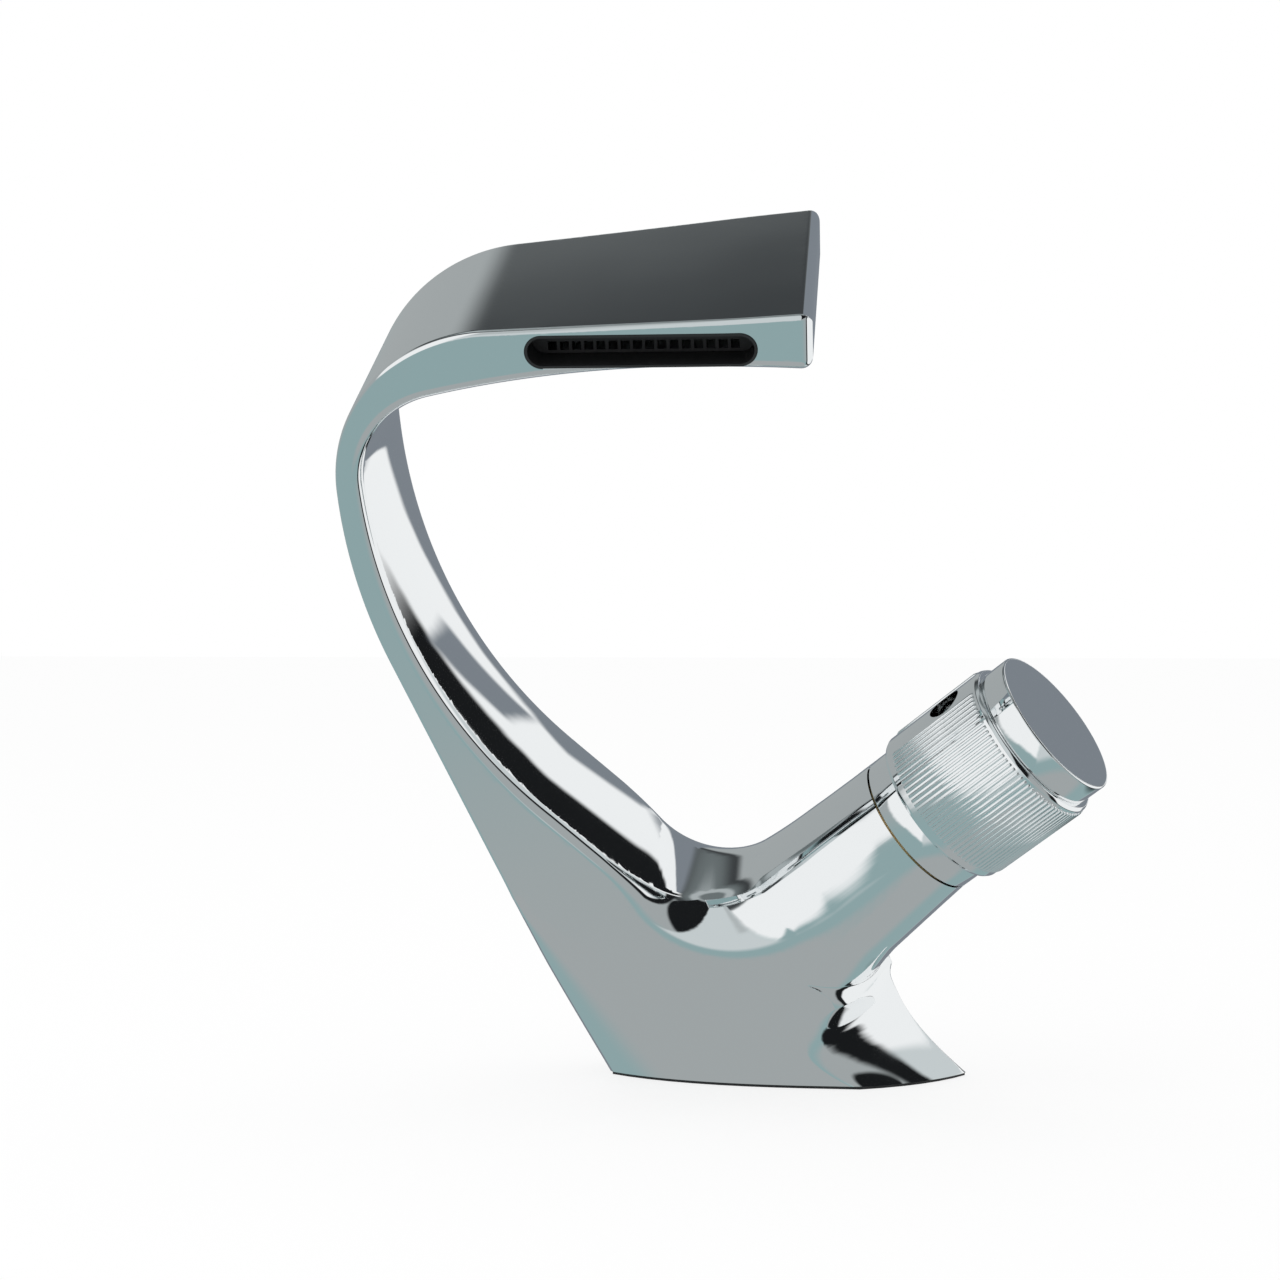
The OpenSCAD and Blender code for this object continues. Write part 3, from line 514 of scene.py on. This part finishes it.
def feed(tree, shader, **values):
    for name, value in values.items():
        tree.links.new(value.socket, shader.inputs[name.replace("_", " ")])


def bumped(tree, height, strength, distance):
    return add(tree, "ShaderNodeBump", None,
               {"Strength": strength, "Distance": distance, "Height": height})


# chrome: mirror bright, with the faint waviness of hand polishing and a few duller marks
chrome, tree, shader, place = finish("chrome", (0.90, 0.915, 0.92), 1.0, 0.04)
marks = noise(tree, place, 60, 3).above(0.62, 0.75)
feed(tree, shader, Roughness=0.035 + marks * 0.03,
     Normal=bumped(tree, noise(tree, place, 25, 1), 0.03, 0.002))

cell, fine_cell, bend = (1.5), 0.75, 7
heights = [np.arange(-8, 150, cell), np.arange(150, 173, fine_cell), np.arange(173, 199, cell)]
axes = [np.arange(-92, 49, cell), np.arange(-116, 26, cell), np.concatenate(heights)]
points, triangles = netted(casting, axes)
points = settled(casting, points, 3)
points = evened(casting, points, triangles, 3)
for shortest in ((0.7, 0.4, 0.25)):
    points, triangles = refined(casting, points, triangles, bend, shortest)
points = evened(casting, points, triangles, 1)
mesh = bpy.data.meshes.new("solid_body")
mesh.from_pydata((points * MM).tolist(), [], triangles.tolist())
axis_x = Vector((math.sin(STUB_ANGLE), math.cos(STUB_ANGLE) * SIN, -math.cos(STUB_ANGLE) * COS))
axis_y = Vector((0, COS, SIN))
axis_z = Vector((math.cos(STUB_ANGLE), -math.sin(STUB_ANGLE) * SIN, math.sin(STUB_ANGLE) * COS))
stub_place = Matrix((axis_x, axis_y, axis_z)).transposed().to_4x4()
stub_place.translation = Vector((STUB_X, -STUB_V * SIN, STUB_V * COS)) * MM

# cut out: the outlet slot, the stub's end with the cartridge's seat, the foot's level over
# its gasket, the two inlets and the stud's hole
SLOT_U, SLOT_V, SLOT_R, SLOT_RUN, SLOT_DEPTH, SLOT_STEPS = -24.9, 191, 3.45, 19.05, 14, 24
slot_turns = [math.pi * k / SLOT_STEPS for k in range(SLOT_STEPS + 1)]
slot_outline = [(SLOT_U + end * (SLOT_RUN + SLOT_R * math.sin(a)), SLOT_V + end * SLOT_R * math.cos(a))
                for end in (1, -1) for a in slot_turns]
slot_mesh = bpy.data.meshes.new("slot")
work = bmesh.new()
ends = [[work.verts.new(Vector((u, w * COS - v * SIN, w * SIN + v * COS)) * MM)
         for u, v in slot_outline] for w in (-FRONT - 1, -FRONT + SLOT_DEPTH)]
for i in range(len(slot_outline)):
    work.faces.new((ends[0][i - 1], ends[0][i], ends[1][i], ends[1][i - 1]))
work.faces.new(ends[0])
work.faces.new(ends[1])
bmesh.ops.recalc_face_normals(work, faces=work.faces)
work.to_mesh(slot_mesh)
work.free()
NUT_R, NUT_DEEP, SEAT_R, SEAT_DEEP, GASKET_SHOWS = 14.1, -8, 12.7, -30, 0.8
seat = turned("seat", [(0, 9), (22, 9), (22, 0), (NUT_R, 0), (NUT_R, NUT_DEEP), (SEAT_R, NUT_DEEP),
                       (SEAT_R, SEAT_DEEP), (0, SEAT_DEEP)], 128, closed_axis=True)
seat.transform(stub_place)
below = [(0, -9), (120, -9), (120, GASKET_SHOWS), (0, GASKET_SHOWS)]
cutters = [slot_mesh, seat, turned("level", below, 4, closed_axis=True)]
HOT, COLD, STUD = (-9, -8, 4.5, 14.8), (9, -8, 4.5, 14.8), (0, 6, 4.1, 11.8)
for x, y, radius, top in (HOT, COLD, STUD):
    hole = turned("hole", [(0, 0), (radius, 0), (radius, top), (0, top)], 48, closed_axis=True)
    hole.transform(Matrix.Translation((x * MM, y * MM, 0)))
    cutters.append(hole)
mesh = carved(mesh, cutters)

# the outside takes its normals from the field, and the cuts keep their own
ON_SURFACE = 0.12
middles, totals = np.empty(len(mesh.polygons) * 3), np.empty(len(mesh.polygons), int)
places, corner = np.empty(len(mesh.vertices) * 3), np.empty(len(mesh.loops), int)
mesh.polygons.foreach_get("center", middles)
mesh.polygons.foreach_get("loop_total", totals)
mesh.loops.foreach_get("vertex_index", corner)
mesh.vertices.foreach_get("co", places)
normals = slopes(casting, places.reshape(-1, 3) / MM)
normals /= np.maximum(np.linalg.norm(normals, axis=1, keepdims=True), 1e-6)
outside = np.abs(casting(middles.reshape(-1, 3) / MM)) < ON_SURFACE
mesh.normals_split_custom_set(normals[corner] * np.repeat(outside, totals)[:, None])
body = new_piece("polished_body", mesh, chrome, "faucet")
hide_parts("body")

# Outlet: a black moulded lining pressed into the spout's slot, with a grid that evens the
# flow across the slot and a seal ring behind it. The mouldings have a fine matt spark texture.
black_plastic, tree, shader, place = finish("black_plastic", (0.012, 0.012, 0.013), 0.0, 0.45)
grain = noise(tree, place, 2500, 3)
feed(tree, shader, Roughness=0.38 + grain * 0.2, Normal=bumped(tree, grain, 0.35, 0.0001))
rubber, tree, shader, place = finish("rubber", (0.018, 0.018, 0.019), 0.0, 0.6)
grain = noise(tree, place, 1800, 4, 0.6)
bloom = noise(tree, place, 120).above(0.4, 0.7)
feed(tree, shader, Roughness=0.52 + grain * 0.25, Normal=bumped(tree, grain, 0.4, 0.00012),
     Base_Color=mixed(bloom, (0.016, 0.016, 0.017), (0.03, 0.03, 0.031)))


def coat(material, *nodes):
    """CAD nodes whose shape is right get their finish."""
    for node in nodes:
        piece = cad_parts[node]
        piece.data.materials.clear()
        piece.data.materials.append(material)


coat(black_plastic, "spout_insert", "flow_grid")
coat(rubber, "insert_seal")


# Cover ring: a polished brass turning over the cartridge's nut, plated like the body. It is
# pushed on its seal ring, turns about the stub's own axis and has a rounded shoulder.
def rounded(outline, radii, steps=4):
    """An outline of radius and height whose corners are rounded, each to its own radius."""
    found = []
    for i, ((x, y), r) in enumerate(zip(outline, radii)):
        if r == 0:
            found.append((x, y))
            continue
        before, after = Vector(outline[i - 1]), Vector(outline[(i + 1) % len(outline)])
        here = Vector((x, y))
        a, b = (before - here).normalized(), (after - here).normalized()
        half = a.angle(b) / 2
        reach = r / math.tan(half)
        middle = here + (a + b).normalized() * (r / math.sin(half))
        start, end = here + a * reach, here + b * reach
        for k in range(steps + 1):
            spoke = (start - middle).slerp(end - middle, k / steps)
            found.append(tuple(middle + spoke.normalized() * r))
    return found


RING_BORE, RING_MOUTH, RING_GAP, RING_TOP, RING_LIP = 15.1, 10.5, 0.4, 6.9, 4.7
outline = rounded([(RING_BORE, RING_GAP), (STUB_R, RING_GAP), (STUB_R, RING_TOP),
                   (RING_MOUTH, RING_TOP), (RING_MOUTH, RING_LIP), (RING_BORE, RING_LIP)],
                  [0, 0.25, 0.5, 0.2, 0, 0])
mesh = turned("polished_ring", outline, 128)
mesh.transform(stub_place)
ring = new_piece("polished_ring", mesh, chrome, "faucet")
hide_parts("cover_ring")

# Handle sleeve: a turned brass tube with a fine straight knurl for grip, plated like the body.
# A boss in its middle sits on the stem and takes the set screw.
SLEEVE_R, RIB_H, RIBS, RIB_HALF, RIB_SUNK, GAP_ANGLE = 18.8, 0.35, 96, 0.40, 0.1, 0.26
SLEEVE_LOW, SLEEVE_TOP, SLEEVE_EDGE, GROUND_R = 6.6, 33.2, 18.0, SLEEVE_R - RIB_H
STEM_BORE, BOSS_R, SKIRT_R, CAP_BORE, CAP_FLOOR = 4.05, 7.5, 17.4, 15.55, 29
SCREW_Z = RING_TOP + 26.3 * 0.64
SCREW_TURN = math.radians(-8)
outline = rounded([(0, 26), (STEM_BORE, 26), (STEM_BORE, 14.6), (BOSS_R, 14.6), (BOSS_R, 18.6),
                   (SKIRT_R, 18.6), (SKIRT_R, SLEEVE_LOW), (SLEEVE_EDGE, SLEEVE_LOW),
                   (GROUND_R, SLEEVE_LOW + 0.8), (GROUND_R, SLEEVE_TOP - 0.8),
                   (SLEEVE_EDGE, SLEEVE_TOP), (CAP_BORE, SLEEVE_TOP), (CAP_BORE, CAP_FLOOR),
                   (0, CAP_FLOOR)],
                  [0, 0, 0, 0.3, 0, 0, 0.2, 0.3, 0.5, 0.5, 0.3, 0.2, 0, 0])
mesh = turned("sleeve_tube", outline, 192, closed_axis=True)
drills = []
lying = Matrix.Rotation(SCREW_TURN, 4, "Z") @ Matrix.Rotation(-math.pi / 2, 4, "Y")
for radius, start, end in ((2.6, 3.5, 14), (4.0, 12, 24)):
    drill = turned("drill", [(0, start), (radius, start), (radius, end), (0, end)], 48,
                   closed_axis=True)
    drill.transform(Matrix.Translation((0, 0, SCREW_Z * MM)) @ lying)
    drills.append(drill)
tube = carved(mesh, drills)

# one rib: a low bar with a rounded back and sloping ends
rib_mesh = bpy.data.meshes.new("rib")
work = bmesh.new()
sections = []
for level, tall in ((8.6, 0.0), (9.0, 0.6), (9.5, 1.0), (31.2, 1.0), (31.6, 0.6), (31.9, 0.0)):
    ring_points = []
    for k in range(7):
        a = math.pi * k / 6
        tip = GROUND_R - RIB_SUNK + (RIB_H + RIB_SUNK) * tall * math.sin(a) ** 0.6
        ring_points.append(work.verts.new(Vector((tip, RIB_HALF * math.cos(a), level)) * MM))
    sections.append(ring_points)
for low, high in zip(sections, sections[1:]):
    for k in range(7):
        m = (k + 1) % 7
        work.faces.new((low[k], low[m], high[m], high[k]))
work.faces.new(sections[0])
work.faces.new(sections[-1])
bmesh.ops.remove_doubles(work, verts=work.verts, dist=1e-7)
bmesh.ops.recalc_face_normals(work, faces=work.faces)
work.to_mesh(rib_mesh)
work.free()
rib_mesh.shade_smooth()
rib = bpy.data.objects.new("rib", rib_mesh)
bpy.context.scene.collection.objects.link(rib)

knurl_tree = bpy.data.node_groups.new("straight_knurl", "GeometryNodeTree")
knurl_inputs = {}
for name, kind in (("Ribs", "NodeSocketInt"), ("Gap place", "NodeSocketFloat"),
                   ("Gap angle", "NodeSocketFloat"), ("Finish", "NodeSocketMaterial"),
                   ("Rib", "NodeSocketObject")):
    socket = knurl_tree.interface.new_socket(name, in_out="INPUT", socket_type=kind)
    knurl_inputs[name] = socket.identifier
knurl_tree.interface.new_socket("Geometry", in_out="OUTPUT", socket_type="NodeSocketGeometry")


def geometry(kind, settings=None, inputs=None, output=0):
    return add(knurl_tree, kind, settings, inputs, output)


given = knurl_tree.nodes.new("NodeGroupInput")
value = {name: Signal(knurl_tree, given.outputs[name]) for name in knurl_inputs}
circle = geometry("GeometryNodeMeshCircle", None, {"Vertices": value["Ribs"], "Radius": 0.0})
index = geometry("GeometryNodeInputIndex")
angle = index * (2 * math.pi) / value["Ribs"]
from_gap = angle - value["Gap place"]
wanted = geometry("FunctionNodeCompare", {"operation": "GREATER_THAN"},
                  {0: from_gap.maths("ABSOLUTE", from_gap), 1: value["Gap angle"]})
spin = geometry("ShaderNodeCombineXYZ", None, {2: angle})
shape = geometry("GeometryNodeObjectInfo", None, {"Object": value["Rib"]}, output=4)
rows = geometry("GeometryNodeInstanceOnPoints", None,
                {"Points": circle, "Selection": wanted, "Instance": shape, "Rotation": spin})
real = geometry("GeometryNodeRealizeInstances", None, {0: rows})
coated = geometry("GeometryNodeSetMaterial", None, {"Geometry": real, "Material": value["Finish"]})
knurl_tree.links.new(coated.socket, knurl_tree.nodes.new("NodeGroupOutput").inputs[0])

holder = bpy.data.objects.new("knurl", bpy.data.meshes.new("knurl"))
bpy.context.scene.collection.objects.link(holder)
knurl = holder.modifiers.new("knurl", "NODES")
knurl.node_group = knurl_tree
for name, chosen in (("Ribs", RIBS), ("Gap place", math.pi + SCREW_TURN),
                     ("Gap angle", GAP_ANGLE), ("Finish", chrome), ("Rib", rib)):
    knurl[knurl_inputs[name]] = chosen
evaluated = holder.evaluated_get(bpy.context.evaluated_depsgraph_get())
ribs_mesh = bpy.data.meshes.new_from_object(evaluated)
holder.modifiers.clear()
work = bmesh.new()
work.from_mesh(tube)
work.from_mesh(ribs_mesh)
mesh = bpy.data.meshes.new("knurled_sleeve")
work.to_mesh(mesh)
work.free()
for spare in (holder, rib):
    bpy.data.objects.remove(spare)
mesh.transform(stub_place)
sleeve = new_piece("knurled_sleeve", mesh, chrome, "handle")
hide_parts("handle_sleeve")

# End cap: a polished brass turning, plated like the body. It is pushed into the sleeve's end
# and held there by the friction of the seal ring in its groove.
CAP_R, CAP_LOW, CAP_END, PLUG_R, GROOVE_R, FLAT_R = 17.0, 29.1, 39.3, 15.5, 14.2, 16.4
outline = rounded([(0, CAP_LOW), (PLUG_R, CAP_LOW), (PLUG_R, 30.7), (GROOVE_R, 30.7),
                   (GROOVE_R, 32.0), (PLUG_R, 32.0), (PLUG_R, SLEEVE_TOP), (CAP_R, SLEEVE_TOP),
                   (CAP_R, CAP_END), (FLAT_R, CAP_END), (0, CAP_END)],
                  [0, 0.2, 0, 0, 0, 0, 0, 0.25, 0.45, 0, 0], 5)
mesh = turned("polished_cap", outline, 160, closed_axis=True)
mesh.transform(stub_place)
cap = new_piece("polished_cap", mesh, chrome, "handle")
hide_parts("handle_cap")
coat(rubber, "cap_seal", "ring_seal")

# Steel parts: the grub screw with a hexagon socket that holds the sleeve on the stem, the
# stem's pin, and the stud and washer under the deck. Turned or stamped, then zinc plated.
steel, tree, shader, place = finish("steel", (0.56, 0.56, 0.55), 1.0, 0.3)
grain = noise(tree, place, 900, 3)
feed(tree, shader, Roughness=0.24 + grain * 0.18, Normal=bumped(tree, grain, 0.15, 0.00005))
coat(steel, "grub_screw", "stem_pin", "mounting_stud", "steel_washer")

# Seals: the gasket under the foot and the washer under the deck are cut from black sheet
# rubber, and the three port seals of the cartridge are moulded.
coat(rubber, "base_gasket", "rubber_washer", "hot_seal", "cold_seal", "outlet_seal")

# Mixing cartridge: a moulded housing and base in white, and a guide and carrier in grey.
# The two ceramic discs are lapped flat, and the stem and both nuts are machined brass.
white_plastic, tree, shader, place = finish("white_plastic", (0.80, 0.80, 0.78), 0.0, 0.4)
grain = noise(tree, place, 1500, 2)
feed(tree, shader, Roughness=0.34 + grain * 0.16, Normal=bumped(tree, grain, 0.2, 0.00006),
     Base_Color=mixed(noise(tree, place, 70), (0.80, 0.80, 0.78), (0.74, 0.74, 0.71)))
grey_plastic, tree, shader, place = finish("grey_plastic", (0.30, 0.31, 0.32), 0.0, 0.45)
grain = noise(tree, place, 1500, 2)
feed(tree, shader, Roughness=0.38 + grain * 0.2, Normal=bumped(tree, grain, 0.2, 0.00006),
     Base_Color=mixed(noise(tree, place, 70), (0.30, 0.31, 0.32), (0.24, 0.25, 0.26)))
ceramic, tree, shader, place = finish("ceramic", (0.86, 0.84, 0.79), 0.0, 0.12)
specks = noise(tree, place, 900, 2).above(0.6, 0.7)
feed(tree, shader, Roughness=0.1 + specks * 0.1,
     Base_Color=mixed(specks, (0.86, 0.84, 0.79), (0.78, 0.76, 0.70)))
brass, tree, shader, place = finish("brass", (0.78, 0.57, 0.28), 1.0, 0.28)
grain = noise(tree, place, 700, 3)
tarnish = noise(tree, place, 90).above(0.35, 0.7)
feed(tree, shader, Roughness=0.22 + grain * 0.2, Normal=bumped(tree, grain, 0.12, 0.00005),
     Base_Color=mixed(tarnish, (0.78, 0.57, 0.28), (0.62, 0.43, 0.20)))
coat(white_plastic, "cartridge_housing", "cartridge_base")
coat(grey_plastic, "stem_guide", "disc_carrier")
coat(ceramic, "fixed_disc", "moving_disc")
coat(brass, "stem", "retaining_nut", "clamp_nut")
